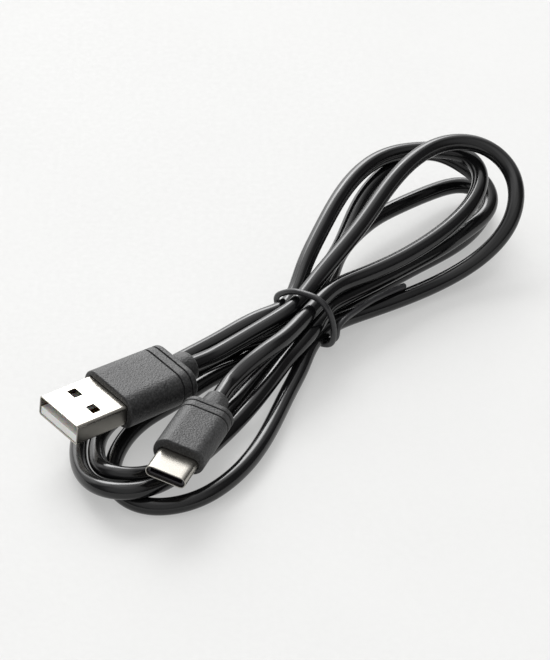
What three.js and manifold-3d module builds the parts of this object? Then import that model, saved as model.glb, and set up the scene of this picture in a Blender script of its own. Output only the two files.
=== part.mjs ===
// Charging cable, USB-A plug to USB-C plug, folded into a hank of eight strands and tied at the waist.
// Units are millimetres, +Z is up. The origin is the bottom centre of the whole object, which lies on z = 0.
// Each plug is drawn in its own frame: x = 0 is the overmould's front face, +X points out of the shell's
// mouth, +Z is the plug's top face and +Y its side.

import * as THREE from 'three';
import { mergeVertices } from 'three/addons/utils/BufferGeometryUtils.js';
import Module from 'manifold-3d';

const wasm = await Module();
wasm.setup();

// ---- driving dimensions -------------------------------------------------------------------------
const CORD_R = 1.62;          // jacket, drawn a little under its 1.7 so that pressed strands keep clear
const CORD_SIDES = 8;
const JACKET_R = 1.68;        // the jacket's end inside each plug
const TIE_R = 0.58;           // twist tie, coated wire
const WIRE_R = 0.42;          // one insulated conductor
const HINGE_GAP = 0.5;        // between each strain relief's mouth and the cord
const JACKET_INSET = 0.65;    // from that mouth in to the jacket end inside the plug, so that a bent relief has room

// plug poses: position of the plug frame, then yaw, pitch and roll in degrees
const USB_A = { pos: [-35.058, -28.296, 9.255], yaw: -140.554, pitch: 4.425, roll: -2.529 };
const USB_C = { pos: [-21.178, -45.85, 8.844], yaw: -109.989, pitch: 4.499, roll: -11.249 };

// USB-A plug
const A = {
  shellHw: 6.0, shellHh: 2.25, shellR: 0.55, wall: 0.3, shellOut: 11.83, shellIn: 5.4,
  windowX: 4.85, windowL: 1.95, windowY0: 1.7, windowY1: 4.15,
  front: [7.5, 3.7, 3.35], back: [7.2, 3.6, 3.3], len: 16.8, bodyZ: 0.05, dz: 0.05, neck: 3.6,
  neckR: [3.2, 3.1, 2.95, 2.4], grooves: [13.3, 15.3], contactY: [-3.5, -1.0, 1.0, 3.5],
};
// USB-C plug
const C = {
  shellHw: 4.125, shellHh: 1.2, wall: 0.2, shellOut: 6.56, shellIn: 5.0,
  front: [5.25, 2.93, 2.85], back: [5.2, 2.8, 2.75], len: 16.6, bodyZ: 0.38, dz: 0.25, neck: 4.6,
  neckR: [2.65, 2.45, 2.25, 2.1], grooves: [13.0, 15.0],
};

// centre line of the cord from the USB-A strain relief to the USB-C strain relief
const ROUTE = [
  [-18.96, -15.06, 7.69], [-15.08, -11.87, 7.33], [-11.92, -9.51, 7.73], [-4.92, -4.86, 9.41], [-1.16, -2.06, 10.19],
  [1.59, 1.08, 10.61], [4.28, 5.25, 11.54], [8.73, 11.47, 13.74], [14.59, 19.88, 16.46], [19.85, 28.79, 18.97],
  [23.77, 34.75, 20.18], [27.33, 39.14, 20.51], [30.48, 41.91, 20.47], [33.76, 43.62, 20.17], [37.02, 44.35, 19.59],
  [40, 44.15, 18.72], [42.6, 43.04, 17.61], [44.62, 41.1, 16.4], [45.95, 38.44, 15.17], [46.49, 35.2, 13.75],
  [46.14, 32.04, 11.99], [44.93, 29.33, 9.88], [42.8, 27.01, 7.61], [39.44, 24.7, 5.22], [35.19, 22.22, 3.35],
  [30.73, 19.42, 2.42], [24.66, 15.22, 2.24], [15.87, 9.77, 2.35], [11.55, 6.87, 2.62], [8.53, 3.81, 3.15],
  [5.85, -0.11, 3.61], [4.11, -3.6, 3.37], [2.42, -8.74, 2.55], [-0.03, -16.26, 2.21], [-3.28, -26.73, 2.15],
  [-6.4, -35.07, 2.11], [-9.54, -40.98, 2.08], [-12.97, -45.53, 2.06], [-16.27, -48.56, 2], [-19.59, -50.41, 1.9],
  [-23.07, -51.26, 1.74], [-26.32, -51.13, 1.61], [-29.17, -50.07, 1.58], [-31.49, -48.14, 1.59], [-33.07, -45.52, 1.58],
  [-33.84, -42.32, 1.58], [-33.79, -38.3, 1.6], [-32.75, -33.63, 1.67], [-30.68, -28.83, 1.73], [-27.86, -24.73, 1.76],
  [-23.06, -19.84, 1.77], [-16.13, -12.85, 2.05], [-11.63, -8.69, 1.84], [-7.85, -5.44, 1.64], [-4.9, -2.72, 2.37],
  [-1.78, 0.43, 3.95], [0.66, 3.61, 4.85], [3.38, 7.59, 4.91], [6.35, 12.2, 4.74], [8.1, 16.5, 4.92],
  [9.55, 22.44, 5.24], [11.38, 27.64, 5.34], [14.46, 33.23, 5.28], [18.09, 38, 5.24], [22.78, 42.39, 5.06],
  [30.14, 48.73, 4.3], [33.37, 50.98, 3.91], [35.75, 51.85, 3.67], [37.89, 51.79, 3.41], [39.69, 50.81, 3.09],
  [40.84, 49.09, 2.75], [41.22, 46.85, 2.46], [40.78, 44.07, 2.26], [39.23, 40.15, 2.18], [36.37, 35.31, 2.17],
  [32.86, 31.28, 2.17], [26.22, 25.43, 2.14], [18.09, 18.06, 2.22], [10.17, 10.73, 2.52], [5.83, 6.09, 2.8],
  [2.53, 1.11, 2.92], [-0.43, -3.32, 2.68], [-4.18, -8.23, 2.14], [-7.67, -14.31, 1.99], [-12.68, -23.87, 1.91],
  [-16.9, -31.06, 1.62], [-20.99, -37.04, 1.77], [-24.48, -41.43, 2.69], [-27.29, -44.3, 3.88], [-29.39, -45.59, 4.61],
  [-31.49, -45.97, 4.99], [-33.51, -45.43, 5.04], [-35.11, -44.06, 4.79], [-36.19, -41.98, 4.29], [-36.85, -38.77, 3.47],
  [-37.04, -33.87, 2.42], [-36.48, -29.87, 1.92], [-35.03, -26.27, 1.71], [-32.5, -22.7, 1.64], [-27.98, -18.18, 1.61],
  [-19.97, -11.15, 1.6], [-15.57, -7.39, 2], [-12.4, -5.15, 2.95], [-9.14, -3.78, 4.37], [-5.12, -2.99, 5.86],
  [-1.98, -2.05, 6.59], [0.58, -0.37, 6.95], [2.71, 2.2, 7.3], [4.54, 5.83, 8.02], [7.08, 12.23, 9.62],
  [10.26, 19.62, 10.91], [12.9, 27.75, 12.24], [15.34, 34.28, 13.04], [18.67, 40.47, 13.45], [22.41, 45.88, 13.43],
  [25.24, 48.84, 13.24], [27.89, 50.52, 12.86], [30.72, 51.26, 12.15], [33.6, 51.06, 11.11], [36.63, 49.87, 9.82],
  [39.33, 47.88, 8.58], [40.97, 45.66, 7.61], [41.66, 43.2, 6.77], [41.37, 40.6, 6.13], [40.16, 37.91, 5.75],
  [37.54, 34.28, 5.65], [31.78, 27.49, 5.75], [25.29, 21.36, 5.92], [17.13, 14.03, 6.17], [10.85, 8.49, 6.42],
  [8.39, 5.65, 6.68], [6.79, 2.34, 6.97], [5.14, -1.77, 7.12], [3.09, -5.19, 6.63], [-0.19, -9.8, 5.49],
  [-3.58, -15.99, 4.59], [-8.34, -24.31, 3.42], [-13.4, -31.87, 2.67], [-18.7, -39.58, 2.82], [-22.62, -44.81, 3.31],
  [-25.66, -48.44, 4.35], [-27.87, -50.19, 5], [-30.15, -51.01, 5.27], [-32.57, -50.89, 5.22], [-34.86, -49.85, 4.9],
  [-36.88, -47.92, 4.32], [-38.59, -44.96, 3.51], [-39.97, -40.67, 2.57], [-40.65, -35.47, 1.91], [-40.51, -30.51, 1.67],
  [-39.45, -26.08, 1.62], [-37.36, -21.8, 1.6], [-34.09, -17.43, 1.63], [-30.17, -13.73, 1.9], [-25.82, -10.82, 2.65],
  [-20.65, -8.32, 4.18], [-13.09, -5.26, 6.92], [-8.47, -2.89, 8.43], [-4.87, -0.72, 8.84], [-1.89, 1.56, 8.64],
  [0.01, 3.95, 8.73], [1.24, 6.69, 9.43], [2.94, 12.21, 11.27], [6.2, 20.46, 13.89], [9.28, 27.49, 15.77],
  [12.41, 33.94, 16.66], [15.61, 38.82, 17.05], [18.79, 42.17, 17.12], [22.41, 44.62, 16.9], [26.7, 46.33, 16.39],
  [30.75, 47.09, 15.92], [33.88, 46.89, 15.59], [36.34, 45.91, 15.21], [38.14, 44.2, 14.73], [39.13, 41.91, 14.17],
  [39.28, 39.14, 13.6], [38.51, 35.73, 12.97], [36.59, 31.65, 12.25], [33.35, 27.15, 11.48], [27.95, 21.42, 10.73],
  [21.45, 15.84, 10.26], [13.86, 10.45, 10.15], [10.15, 7.49, 10.36], [7.72, 4.42, 10.59], [4.65, -0.62, 10.57],
  [1.54, -5.86, 10.45], [-1.2, -10.3, 10.56], [-4.01, -13.45, 10.38], [-6.8, -15.8, 9.47], [-9.79, -18.16, 7.92],
  [-11.44, -19.97, 7.17], [-12.45, -21.96, 7.08], [-13.73, -25.52, 7.39],
];

// centre line of the twist tie: the free tail, under the waist, once round it, and the other end tucked underneath
const TIE = [
  [23.17, 14.75, 4.8], [21.65, 13.6, 4.9], [20.22, 12.31, 5.11], [18.59, 10.88, 5.28], [17.06, 9.43, 5.44],
  [15.64, 7.81, 5.64], [14.31, 6.11, 5.86], [13.03, 4.36, 6.07], [12.11, 2.93, 6.34], [11.37, 1.57, 6.68],
  [10.89, 0.73, 6.78], [10.46, 0.11, 6.7], [10.07, -0.35, 6.47], [9.79, -0.65, 6.13], [9.6, -0.79, 5.64],
  [9.53, -0.75, 5.09], [9.48, -0.52, 4.21], [9.33, -0.18, 3.23], [9.04, 0.19, 2.45], [8.58, 0.64, 1.83],
  [7.98, 1.14, 1.36], [7.32, 1.62, 1.11], [6.46, 2.23, 1.02], [5.38, 2.91, 0.82], [4.43, 3.43, 0.63],
  [3.71, 3.87, 0.63], [3.18, 4.22, 0.8], [2.67, 4.49, 1.17], [1.82, 4.81, 1.88], [0.59, 5.12, 2.7],
  [-0.17, 5.26, 3.21], [-0.7, 5.28, 3.78], [-1.15, 5.21, 4.55], [-1.85, 5.07, 6.13], [-2.3, 5, 7.5],
  [-2.47, 4.89, 8.5], [-2.46, 4.7, 9.31], [-2.26, 4.4, 10.04], [-1.87, 3.99, 10.71], [-1.17, 3.35, 11.5],
  [-0.02, 2.34, 12.56], [0.87, 1.61, 13.15], [1.84, 0.88, 13.53], [3.22, -0.11, 13.81], [4.42, -0.93, 13.9],
  [5.27, -1.47, 13.8], [6, -1.9, 13.51], [6.66, -2.23, 13.03], [7.21, -2.45, 12.37], [7.7, -2.58, 11.51],
  [8.16, -2.62, 10.29], [8.56, -2.54, 8.75], [8.77, -2.33, 7.21], [8.81, -1.96, 5.36], [8.73, -1.56, 3.8],
  [8.56, -1.22, 2.85], [8.27, -0.85, 2.12], [7.83, -0.44, 1.57], [7.26, 0.02, 1.2], [6.53, 0.56, 0.98],
  [5.16, 1.5, 0.81],
];

// ---- materials ----------------------------------------------------------------------------------
const mat = (color, roughness, metalness) => new THREE.MeshStandardMaterial({ color, roughness, metalness });
const M = {
  jacket: mat(0x18191b, 0.24, 0),
  tie: mat(0x202123, 0.35, 0),
  tpe: mat(0x3b3c3e, 0.72, 0),
  steel: mat(0xd6d2ca, 0.28, 1),
  springSteel: mat(0xb9b6ae, 0.3, 1),
  gold: mat(0xd2a550, 0.3, 1),
  insulatorA: mat(0xc9c6be, 0.5, 0),
  insulatorC: mat(0x17161a, 0.5, 0),
  premould: mat(0xe4e1d8, 0.55, 0),
  board: mat(0x1f4a34, 0.45, 0),
  chip: mat(0x1c1c1e, 0.5, 0),
  red: mat(0xa8231c, 0.4, 0),
  black: mat(0x1d1d1f, 0.4, 0),
  green: mat(0x1f7a3c, 0.4, 0),
  white: mat(0xdedcd6, 0.4, 0),
};

// ---- solid helpers ------------------------------------------------------------------------------
function toManifold(geometry) {
  let g = geometry.clone();
  g.deleteAttribute('normal');
  g.deleteAttribute('uv');
  if (g.index === null) g.setIndex([...Array(g.attributes.position.count).keys()]);
  g = mergeVertices(g, 1e-4);
  const tri = [];
  for (let i = 0; i < g.index.count; i += 3) {
    const a = g.index.getX(i), b = g.index.getX(i + 1), c = g.index.getX(i + 2);
    if (a !== b && b !== c && a !== c) tri.push(a, b, c);
  }
  return new wasm.Manifold(new wasm.Mesh({
    numProp: 3,
    vertProperties: new Float32Array(g.attributes.position.array),
    triVerts: new Uint32Array(tri),
  }));
}

function toGeometry(solid) {
  const m = solid.getMesh();
  const g = new THREE.BufferGeometry();
  g.setAttribute('position', new THREE.BufferAttribute(new Float32Array(m.vertProperties), 3));
  g.setIndex(new THREE.BufferAttribute(new Uint32Array(m.triVerts), 1));
  const flat = g.toNonIndexed();
  flat.computeVertexNormals();
  return flat;
}

// points of a rounded rectangle, n segments in each corner
function roundRect(hw, hh, r, n) {
  const pts = [];
  const cs = [[hw - r, hh - r, 0], [-(hw - r), hh - r, 1], [-(hw - r), -(hh - r), 2], [hw - r, -(hh - r), 3]];
  for (const [cx, cy, q] of cs) {
    for (let i = 0; i <= n; i++) {
      const a = (q + i / n) * Math.PI / 2;
      pts.push(new THREE.Vector2(cx + r * Math.cos(a), cy + r * Math.sin(a)));
    }
  }
  return pts;
}

// a solid drawn through rounded rectangles at stations along x: [x, half width, half height, corner r, dz]
function loft(stations, n) {
  const steps = stations.length - 1;
  const base = roundRect(2, 1.5, 0.8, n);
  const g = new THREE.ExtrudeGeometry(new THREE.Shape(base), { depth: steps, steps, bevelEnabled: false });
  const rings = stations.map(([x, hw, hh, r, dz]) =>
    roundRect(hw, hh, Math.min(r, hw - 0.01, hh - 0.01), n).map((p) => [x, p.x, p.y + (dz || 0)]));
  const pos = g.attributes.position;
  for (let i = 0; i < pos.count; i++) {
    const s = Math.round(pos.getZ(i));
    let best = 0, d = Infinity;
    base.forEach((p, k) => {
      const e = (p.x - pos.getX(i)) ** 2 + (p.y - pos.getY(i)) ** 2;
      if (e < d) { d = e; best = k; }
    });
    const [x, y, z] = rings[s][best];
    pos.setXYZ(i, x, y, z);
  }
  const solid = toManifold(g);
  return solid;
}

const prism = (x0, x1, hw, hh, r, n = 3, dz = 0) => loft([[x0, hw, hh, r, dz], [x1, hw, hh, r, dz]], n);

function box(x0, x1, y0, y1, z0, z1) {
  const g = new THREE.BoxGeometry(x1 - x0, y1 - y0, z1 - z0);
  g.translate((x0 + x1) / 2, (y0 + y1) / 2, (z0 + z1) / 2);
  return toManifold(g);
}

function rod(x0, x1, r, sides, y = 0, z = 0) {
  const g = new THREE.CylinderGeometry(r, r, Math.abs(x1 - x0), sides);
  g.rotateZ(Math.PI / 2);
  g.translate((x0 + x1) / 2, y, z);
  return toManifold(g);
}

// a curve that stops exactly at the listed points, so a step falls on each of them
class StopCurve extends THREE.Curve {
  constructor(points) { super(); this.p = points.map((q) => new THREE.Vector3(...q)); }
  getPoint(t, target = new THREE.Vector3()) {
    const n = this.p.length - 1;
    const u = Math.min(Math.max(t, 0), 1) * n;
    const i = Math.min(Math.floor(u + 1e-9), n - 1);
    return target.copy(this.p[i]).lerp(this.p[i + 1], u - i);
  }
  getPointAt(u, target) { return this.getPoint(u, target); }
  getSpacedPoints(divisions) {
    return Array.from({ length: divisions + 1 }, (_, i) => this.getPoint(i / divisions));
  }
  getTangent(t, target = new THREE.Vector3()) {
    const n = this.p.length - 1;
    const i = Math.round(Math.min(Math.max(t, 0), 1) * n);
    const a = this.p[Math.max(i - 1, 0)], b = this.p[i], c = this.p[Math.min(i + 1, n)];
    const d1 = new THREE.Vector3().subVectors(b, a).normalize();
    const d2 = new THREE.Vector3().subVectors(c, b).normalize();
    return target.copy(i === 0 ? d2 : i === n ? d1 : d1.add(d2)).normalize();
  }
  getTangentAt(u, target) { return this.getTangent(u, target); }
}

function tube(points, r, sides) {
  const section = new THREE.Shape();
  for (let i = 0; i < sides; i++) {
    const a = (i / sides) * 2 * Math.PI;
    if (i === 0) section.moveTo(r * Math.cos(a), r * Math.sin(a));
    else section.lineTo(r * Math.cos(a), r * Math.sin(a));
  }
  return new THREE.ExtrudeGeometry(section, {
    steps: points.length - 1, extrudePath: new StopCurve(points), bevelEnabled: false, curveSegments: 1,
  });
}

const union = (...s) => wasm.Manifold.union(s);

function mesh(name, geometry, material) {
  const m = new THREE.Mesh(geometry, material);
  m.name = name;
  return m;
}
const part = (name, solid, material) => mesh(name, toGeometry(solid), material);

function plugGroup(p) {
  const g = new THREE.Group();
  const rad = THREE.MathUtils.degToRad;
  g.rotation.set(rad(p.roll), -rad(p.pitch), rad(p.yaw), 'ZYX');
  g.position.set(...p.pos);
  return g;
}

const root = new THREE.Group();

// ---- the cord and its tie -----------------------------------------------------------------------
root.add(mesh('cord_jacket', tube(ROUTE, CORD_R, CORD_SIDES), M.jacket));
root.add(mesh('twist_tie', tube(TIE, TIE_R, 8), M.tie));

// an insulated conductor from the jacket's end to a pad: three straight runs with soft corners
function wireRoute(x0, y0, z0, x1, y1, z1) {
  const pts = [];
  const n = 6;
  for (let i = 0; i <= n; i++) {
    const t = i / n;
    const s = t * t * (3 - 2 * t);
    pts.push([x0 + (x1 - x0) * t, y0 + (y1 - y0) * s, z0 + (z1 - z0) * s]);
  }
  return pts;
}

// overmould: block, two finger grooves, soft rear shoulder and the strain relief in one moulding
function overmould(P, cavities) {
  const [fw, fh, fr] = P.front, [bw, bh, br] = P.back;
  const at = (x, k = 0) => {
    const t = x / P.len;
    return [-x, fw + (bw - fw) * t - k, fh + (bh - fh) * t - k, fr + (br - fr) * t - k * 0.5, P.bodyZ];
  };
  const st = [[0, fw - 0.3, fh - 0.3, fr - 0.2, P.bodyZ], [-0.12, fw - 0.09, fh - 0.09, fr - 0.06, P.bodyZ], at(0.4), at(P.len * 0.45)];
  for (const gx of P.grooves) st.push(at(gx - 0.2), at(gx - 0.1, 0.38), at(gx + 0.1, 0.38), at(gx + 0.2));
  st.push(at(P.len - 0.65), at(P.len - 0.2, 0.2), at(P.len, 0.65));
  const [n0, n1, n2, n3] = P.neckR;
  st.push([-P.len - 0.01, n0, n0, n0 - 0.01, P.dz], [-P.len - P.neck * 0.5, n1, n1, n1 - 0.01, P.dz], [-P.len - P.neck + 0.4, n2, n2, n2 - 0.01, P.dz], [-P.len - P.neck, n3, n3, n3 - 0.01, P.dz]);
  return wasm.Manifold.difference(loft(st.reverse(), 5), union(...cavities));
}

function crimpRing(x0, x1, ro, ri, z) {
  return wasm.Manifold.difference(rod(x0, x1, ro, 24, 0, z), rod(x0 - 1, x1 + 1, ri, 24, 0, z));
}

// ---- USB-A plug ---------------------------------------------------------------------------------
{
  const g = plugGroup(USB_A);
  const w = A.wall;

  // drawn steel shell with two windows in each wide face
  let shell = wasm.Manifold.difference(
    prism(-A.shellIn, A.shellOut, A.shellHw, A.shellHh, A.shellR),
    prism(-A.shellIn - 1, A.shellOut + 1, A.shellHw - w, A.shellHh - w, A.shellR - 0.25));
  const cuts = [];
  for (const sy of [1, -1]) {
    for (const sz of [1, -1]) {
      const y = sy > 0 ? [A.windowY0, A.windowY1] : [-A.windowY1, -A.windowY0];
      const z = sz > 0 ? [1.8, 2.6] : [-2.6, -1.8];
      cuts.push(box(A.windowX, A.windowX + A.windowL, y[0], y[1], z[0], z[1]));
    }
  }
  shell = wasm.Manifold.difference(shell, union(...cuts));
  g.add(part('usb_a_shell', shell, M.steel));

  // tongue insulator with a groove for each contact
  const tongueTop = -0.15;
  let tongue = prism(-5.0, 11.66, 5.6, (tongueTop + 1.87) / 2, 0.15, 2, (tongueTop - 1.87) / 2);
  const grooves = A.contactY.map((y) => box(-6, Math.abs(y) > 2 ? 10.2 : 9.2, y - 0.62, y + 0.62, tongueTop - 0.32, 1));
  tongue = wasm.Manifold.difference(tongue, union(...grooves));
  g.add(part('usb_a_tongue_insulator', tongue, M.insulatorA));

  // rear block that closes the upper half of the shell behind the mating space
  g.add(part('usb_a_rear_block', prism(-5.0, -1.2, 5.45, 0.78, 0.15, 2, 0.97), M.insulatorA));

  // four contacts: flat blade, raised wiping bow near the tip, tail behind the tongue
  const names = ['usb_a_contact_gnd', 'usb_a_contact_d_plus', 'usb_a_contact_d_minus', 'usb_a_contact_vbus'];
  const contactCuts = [];
  A.contactY.forEach((y, i) => {
    const tip = Math.abs(y) > 2 ? 9.9 : 8.9;
    const z = tongueTop - 0.26;
    const s = new THREE.Shape();
    s.moveTo(-8.6, z);
    s.lineTo(tip, z);
    s.lineTo(tip, z + 0.12);
    s.lineTo(tip - 0.5, z + 0.2);
    s.quadraticCurveTo(tip - 1.7, z + 0.62, tip - 3.1, z + 0.2);
    s.lineTo(-8.6, z + 0.2);
    s.closePath();
    const e = new THREE.ExtrudeGeometry(s, { depth: 1.0, steps: 1, bevelEnabled: false, curveSegments: 6 });
    e.rotateX(Math.PI / 2);
    e.translate(0, y + 0.5, 0);
    g.add(part(names[i], toManifold(e), M.gold));
    contactCuts.push(box(-8.9, -6.0, y - 0.7, y + 0.7, z - 0.15, z + 0.4));
  });

  // four conductors, fanned out from the jacket to the contact tails
  const wires = [
    ['usb_a_wire_black', -3.5, -0.55, -0.5, M.black], ['usb_a_wire_green', -1.0, -0.55, 0.55, M.green],
    ['usb_a_wire_white', 1.0, 0.55, 0.55, M.white], ['usb_a_wire_red', 3.5, 0.55, -0.5, M.red]];
  const wireCuts = [];
  for (const [name, y, y0, z0, m] of wires) {
    const path = wireRoute(-14.6, y0, z0 + A.dz, -7.0, y, tongueTop + 0.2 + WIRE_R);
    g.add(mesh(name, tube(path, WIRE_R, 8), m));
    const cut = [[-15.6, y0, z0 + A.dz], ...path, [-5.0, y, tongueTop + 0.2 + WIRE_R]];
    wireCuts.push(toManifold(tube(cut, WIRE_R + 0.14, 8)));
  }

  // inner mould round the joints, with a channel for each conductor and contact
  const inner = wasm.Manifold.difference(prism(-11.8, -6.0, 5.7, 2.0, 0.6), union(...wireCuts, ...contactCuts));
  g.add(part('usb_a_inner_mould', inner, M.premould));

  // jacket's end, crimp collar, overmould
  g.add(part('usb_a_jacket_end', rod(-A.len - A.neck + JACKET_INSET, -15.1, JACKET_R, 16, 0, A.dz), M.jacket));
  g.add(part('usb_a_crimp_collar', crimpRing(-15.0 - 1.6, -15.2, 2.15, 1.8, A.dz), M.steel));
  const cav = [
    prism(-12.2, 1, A.shellHw + 0.12, A.shellHh + 0.12, A.shellR + 0.1),
    rod(-17.0, -12.0, 2.3, 24, 0, A.dz),
    rod(-A.len - A.neck - 1, -16.8, 1.85, 24, 0, A.dz),
  ];
  g.add(part('usb_a_overmould', overmould(A, cav), M.tpe));
  root.add(g);
}

// ---- USB-C plug ---------------------------------------------------------------------------------
{
  const g = plugGroup(USB_C);
  const w = C.wall;
  const stadium = (x0, x1, hw, hh, n = 6, dz = 0) => prism(x0, x1, hw, hh, hh - 0.015, n, dz);

  g.add(part('usb_c_shell', wasm.Manifold.difference(
    stadium(-C.shellIn, C.shellOut, C.shellHw, C.shellHh),
    stadium(-C.shellIn - 1, C.shellOut + 1, C.shellHw - w, C.shellHh - w)), M.steel));

  // insulator housing: mating slot, contact grooves, open sides for the latches, recesses for the springs
  const rowY = (i) => -2.75 + 0.5 * i;                 // twelve positions in a row
  const upper = [[0, 'a1_gnd'], [3, 'a4_vbus'], [4, 'a5_cc'], [5, 'a6_d_plus'], [6, 'a7_d_minus'], [8, 'a9_vbus'], [11, 'a12_gnd']];
  const lower = [[0, 'b12_gnd'], [3, 'b9_vbus'], [8, 'b4_vbus'], [11, 'b1_gnd']];
  const slotH = 0.42, z0 = 0.37, z1 = 0.49;
  const cuts = [box(-1.5, 7, -3.25, 3.25, -slotH, slotH)];
  for (const [i] of upper) cuts.push(box(-5, 5.5, rowY(i) - 0.17, rowY(i) + 0.17, 0.3, 0.56));
  for (const [i] of lower) cuts.push(box(-5, 5.5, rowY(i) - 0.17, rowY(i) + 0.17, -0.56, -0.3));
  for (const s of [1, -1]) {
    cuts.push(s > 0 ? box(-5, 5.3, 3.05, 4.2, -0.42, 0.42) : box(-5, 5.3, -4.2, -3.05, -0.42, 0.42));
    cuts.push(s > 0 ? box(1.6, 5.0, -2.5, 2.5, 0.7, 1.2) : box(1.6, 5.0, -2.5, 2.5, -1.2, -0.7));
  }
  g.add(part('usb_c_housing', wasm.Manifold.difference(stadium(-4.2, 6.0, 3.85, 0.93), union(...cuts)), M.insulatorC));

  const strip = (sign) => {
    // flat strip with a wiping bow towards the middle of the slot
    const s = new THREE.Shape();
    s.moveTo(-7.2, z0);
    s.lineTo(3.1, z0);
    s.quadraticCurveTo(4.0, z0 - 0.22, 4.9, z0);
    s.lineTo(5.2, z0 + 0.02);
    s.lineTo(5.2, z1);
    s.lineTo(4.6, z1);
    s.quadraticCurveTo(4.0, z1 - 0.2, 3.4, z1);
    s.lineTo(-7.2, z1);
    s.closePath();
    const e = new THREE.ExtrudeGeometry(s, { depth: 0.22, steps: 1, bevelEnabled: false, curveSegments: 5 });
    e.rotateX(Math.PI / 2);
    e.translate(0, 0.11, 0);
    if (sign < 0) e.rotateX(Math.PI);
    return e;
  };
  for (const [i, n] of upper) { const e = strip(1); e.translate(0, rowY(i), 0); g.add(part('usb_c_contact_' + n, toManifold(e), M.gold)); }
  for (const [i, n] of lower) { const e = strip(-1); e.translate(0, rowY(i), 0); g.add(part('usb_c_contact_' + n, toManifold(e), M.gold)); }

  // side latches: spring arm with a hook at the front
  for (const s of [1, -1]) {
    const a = new THREE.Shape();
    a.moveTo(-4.0, s * 3.42);
    a.lineTo(3.9, s * 3.42);
    a.lineTo(4.3, s * 3.12);
    a.lineTo(4.7, s * 3.12);
    a.lineTo(5.1, s * 3.42);
    a.lineTo(5.1, s * 3.6);
    a.lineTo(-4.0, s * 3.6);
    a.closePath();
    const e = new THREE.ExtrudeGeometry(a, { depth: 0.56, steps: 1, bevelEnabled: false, curveSegments: 1 });
    e.translate(0, 0, -0.28);
    g.add(part(s > 0 ? 'usb_c_latch_left' : 'usb_c_latch_right', toManifold(e), M.springSteel));
  }
  g.add(part('usb_c_ground_spring_upper', box(1.75, 4.85, -2.35, 2.35, 0.77, 0.89), M.springSteel));
  g.add(part('usb_c_ground_spring_lower', box(1.75, 4.85, -2.35, 2.35, -0.89, -0.77), M.springSteel));

  // board behind the housing with its resistor, and the shield round it
  g.add(part('usb_c_paddle_card', box(-11.0, -4.5, -3.5, 3.5, -0.3, 0.3), M.board));
  g.add(part('usb_c_pull_up_resistor', box(-8.7, -7.7, -0.25, 0.25, 0.36, 0.71), M.chip));
  g.add(part('usb_c_shield_can', wasm.Manifold.difference(
    prism(-11.3, -5.4, 4.3, 1.75, 0.5), prism(-12, -5, 4.12, 1.57, 0.35)), M.steel));

  const wires = [
    ['usb_c_wire_red', 2.2, 0.78, 0.55, 0.5, M.red], ['usb_c_wire_black', -2.2, 0.78, -0.55, 0.5, M.black],
    ['usb_c_wire_green', -1.2, -0.78, -0.55, -0.6, M.green], ['usb_c_wire_white', 1.2, -0.78, 0.55, -0.6, M.white]];
  const wireCuts = [];
  for (const [name, y, z, y0, zz, m] of wires) {
    const path = wireRoute(-14.4, y0, zz + C.dz, -9.3, y, z);
    g.add(mesh(name, tube(path, WIRE_R, 8), m));
    wireCuts.push(toManifold(tube([[-15.4, y0, zz + C.dz], ...path], WIRE_R + 0.14, 8)));
  }
  g.add(part('usb_c_inner_mould', wasm.Manifold.difference(
    prism(-13.4, -11.5, 4.2, 1.7, 0.5), union(...wireCuts)), M.premould));

  g.add(part('usb_c_jacket_end', rod(-C.len - C.neck + JACKET_INSET, -14.9, JACKET_R, 16, 0, C.dz), M.jacket));
  g.add(part('usb_c_crimp_collar', crimpRing(-16.4, -15.1, 1.98, 1.78, C.dz), M.steel));
  const cav = [
    stadium(-2, 1, C.shellHw + 0.12, C.shellHh + 0.12, 6),
    prism(-13.7, -1.2, 4.42, 1.87, 0.6),
    rod(-16.7, -13.5, 2.08, 24, 0, C.dz),
    rod(-C.len - C.neck - 1, -16.5, 1.85, 24, 0, C.dz),
  ];
  g.add(part('usb_c_overmould', overmould(C, cav), M.tpe));
  root.add(g);
}

export default root;
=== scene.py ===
import math

import bmesh
import bpy
import numpy as np
from mathutils import Matrix, Vector


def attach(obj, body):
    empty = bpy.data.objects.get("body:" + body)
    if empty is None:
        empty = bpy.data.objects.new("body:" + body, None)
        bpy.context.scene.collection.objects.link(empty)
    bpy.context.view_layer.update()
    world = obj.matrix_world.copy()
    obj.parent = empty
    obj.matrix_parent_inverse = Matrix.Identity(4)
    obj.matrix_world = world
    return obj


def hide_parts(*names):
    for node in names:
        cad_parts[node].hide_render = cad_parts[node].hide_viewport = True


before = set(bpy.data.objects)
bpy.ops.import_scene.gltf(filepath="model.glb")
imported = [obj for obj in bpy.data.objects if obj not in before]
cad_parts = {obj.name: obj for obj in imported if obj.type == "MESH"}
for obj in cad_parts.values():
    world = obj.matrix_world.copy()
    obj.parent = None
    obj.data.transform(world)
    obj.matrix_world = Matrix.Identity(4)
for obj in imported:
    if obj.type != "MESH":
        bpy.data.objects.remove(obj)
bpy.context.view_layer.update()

MM = 0.001
scene = bpy.context.scene

# ------------------------------------------------------------------ facts shared with the CAD (mm)
CORD_D = 3.4
TIE_D = 1.24
USB_A = dict(pos=(-35.058, -28.296, 9.255), yaw=-140.554, pitch=4.425, roll=-2.529)
USB_C = dict(pos=(-21.178, -45.85, 8.844), yaw=-109.989, pitch=4.499, roll=-11.249)
A = dict(front=(7.5, 3.7, 3.35), back=(7.2, 3.6, 3.3), len=16.8, body_z=0.05, dz=0.05, neck=3.6, grooves=(13.3, 15.3), shoulder=0.7, neck_r=((3.3, 3.15), (3.1, 2.95)), rim=0.75)
C = dict(front=(5.25, 2.93, 2.85), back=(5.2, 2.8, 2.75), len=16.6, body_z=0.38, dz=0.25, neck=4.6, grooves=(13.0, 15.0), shoulder=0.6, neck_r=((2.95, 2.45), (2.2, 2.15)), rim=0.25)

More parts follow.
